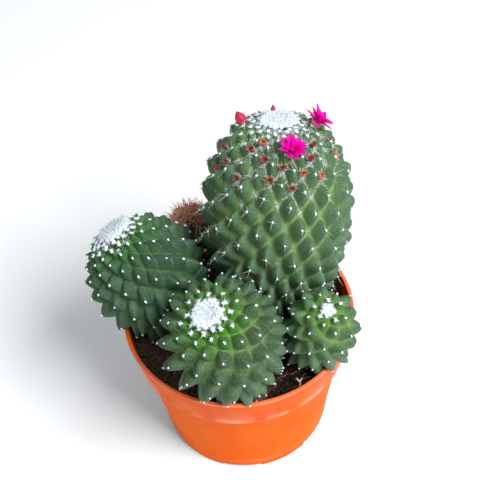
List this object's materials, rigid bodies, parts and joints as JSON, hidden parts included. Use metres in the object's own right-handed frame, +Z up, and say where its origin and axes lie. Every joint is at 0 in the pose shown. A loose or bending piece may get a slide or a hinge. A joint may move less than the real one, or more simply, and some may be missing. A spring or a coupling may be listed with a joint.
{
  "type": "potted cactus",
  "caption": "Clump of round, warty nipple cactus stems with white woolly crowns and small magenta flowers, growing in peat in an orange plastic nursery pot.",
  "frame": {"origin": "middle of the pot's underside, on the surface that the pot stands on", "axes": "+Z up along the pot's axis; -Y towards the side with the shortest stems, +Y towards the tallest stem"},
  "size_m": [0.1415, 0.1354, 0.1835],
  "materials": {
    "pot_plastic": "satin",
    "peat_soil": "matte",
    "green_skin": "satin",
    "withered_skin": "matte",
    "white_wool": "matte",
    "dry_bristles": "matte",
    "petals": "satin",
    "flower_tube": "matte",
    "bud": "matte",
    "dried_petals": "matte"
  },
  "bodies": {
    "root": {"pot": "pot_plastic", "soil": "peat_soil", "stem_main": "green_skin", "stem_left": "green_skin", "stem_front": "green_skin", "stem_right": "green_skin", "stem_withered": "withered_skin", "wool_main": "white_wool", "wool_left": "white_wool", "wool_front": "white_wool", "wool_right": "white_wool", "dry_tuft": "dry_bristles", "flower_1_tube": "flower_tube", "flower_1_petals": "petals", "flower_2_tube": "flower_tube", "flower_2_petals": "petals", "bud_1": "bud", "bud_2": "bud", "dried_flower_01": "dried_petals", "dried_flower_02": "dried_petals", "dried_flower_03": "dried_petals", "dried_flower_04": "dried_petals", "dried_flower_05": "dried_petals", "dried_flower_06": "dried_petals", "dried_flower_07": "dried_petals", "dried_flower_08": "dried_petals", "dried_flower_09": "dried_petals", "dried_flower_10": "dried_petals", "dried_flower_11": "dried_petals", "dried_flower_12": "dried_petals", "dried_flower_13": "dried_petals", "dried_flower_14": "dried_petals", "dried_flower_15": "dried_petals", "dried_flower_16": "dried_petals", "dried_flower_17": "dried_petals", "dried_flower_18": "dried_petals", "dried_flower_19": "dried_petals", "dried_flower_20": "dried_petals", "dried_flower_21": "dried_petals", "dried_flower_22": "dried_petals", "dried_flower_23": "dried_petals", "dried_flower_24": "dried_petals", "dried_flower_25": "dried_petals", "dried_flower_26": "dried_petals", "dried_flower_27": "dried_petals"}
  },
  "joints": []
}
